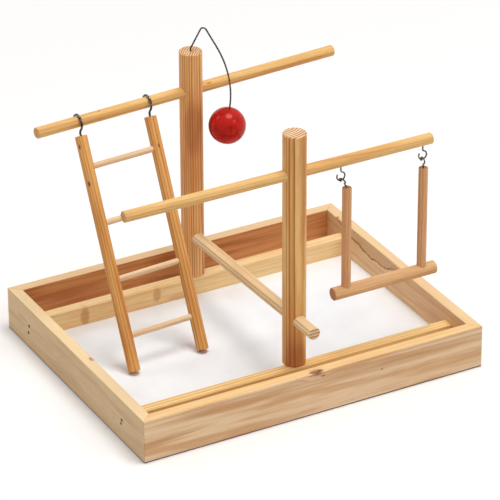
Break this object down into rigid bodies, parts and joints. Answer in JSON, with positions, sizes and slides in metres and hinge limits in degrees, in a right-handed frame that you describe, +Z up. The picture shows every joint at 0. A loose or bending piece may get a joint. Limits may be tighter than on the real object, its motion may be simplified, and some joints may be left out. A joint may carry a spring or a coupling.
{
  "type": "parrot play stand",
  "caption": "Table-top play stand for small parrots: a shallow pine tray with posts and perches, a hooked-on leaning ladder, a hanging swing and a wooden ball on a bent wire.",
  "frame": {"origin": "centre of the tray's underside, on the surface that it stands on", "axes": "+X along the tray's long side to its right end, -Y to its front, +Z up"},
  "size_m": [0.4, 0.3174, 0.3292],
  "materials": {
    "pine_boards": "planed, unvarnished",
    "pine_rails": "planed, unvarnished",
    "pine_posts": "turned, unvarnished, strong growth-ring stripes",
    "perch_dowels": "turned, unvarnished",
    "ladder_rail_dowels": "turned, unvarnished",
    "ladder_rung_dowels": "turned, unvarnished",
    "swing_dowels": "turned, unvarnished",
    "white_hardboard": "smooth white face",
    "steel": "zinc-plated wire",
    "red_lacquered_wood": "glossy red lacquer"
  },
  "bodies": {
    "stand": {"front_board": "pine_boards", "back_board": "pine_boards", "left_board": "pine_boards", "right_board": "pine_boards", "base_panel": "white_hardboard", "front_cross_rail": "pine_rails", "rear_cross_rail": "pine_rails", "cross_rail_nails": "steel", "corner_v_nails": "steel", "front_post": "pine_posts", "rear_post": "pine_posts", "post_screws": "steel", "front_perch": "perch_dowels", "rear_perch": "perch_dowels", "low_perch": "perch_dowels", "swing_left_hanger": "steel", "swing_right_hanger": "steel"},
    "ladder": {"ladder_left_rail": "ladder_rail_dowels", "ladder_left_hook": "steel", "ladder_right_rail": "ladder_rail_dowels", "ladder_right_hook": "steel", "ladder_rung_1": "ladder_rung_dowels", "ladder_rung_2": "ladder_rung_dowels", "ladder_rung_3": "ladder_rung_dowels", "ladder_rung_4": "ladder_rung_dowels"},
    "swing": {"swing_perch": "swing_dowels", "swing_left_upright": "swing_dowels", "swing_left_hook": "steel", "swing_right_upright": "swing_dowels", "swing_right_hook": "steel"},
    "toy_arm": {"toy_wire": "steel"},
    "ball": {"toy_ball": "red_lacquered_wood"}
  },
  "joints": [
    {"name": "ladder_lift", "type": "hinge", "parent": "stand", "child": "ladder", "pos_m": [-0.09395, 0.10978, 0.2543], "axis": [-0.9979, -0.0645, 0], "range_deg": [0, 58]},
    {"name": "swing_hinge", "type": "hinge", "parent": "stand", "child": "swing", "pos_m": [0.10665, -0.1043, 0.2324], "axis": [1, 0, 0], "range_deg": [-60, 60]},
    {"name": "toy_swivel", "type": "hinge", "parent": "stand", "child": "toy_arm", "pos_m": [0.0023, 0.116, 0.3], "axis": [0, 0, 1], "range_deg": [-85, 35]},
    {"name": "ball_spin", "type": "hinge", "parent": "toy_arm", "child": "ball", "pos_m": [0.03041, 0.08789, 0.21769], "axis": [0.0935, -0.0935, 0.9912], "continuous": true}
  ]
}
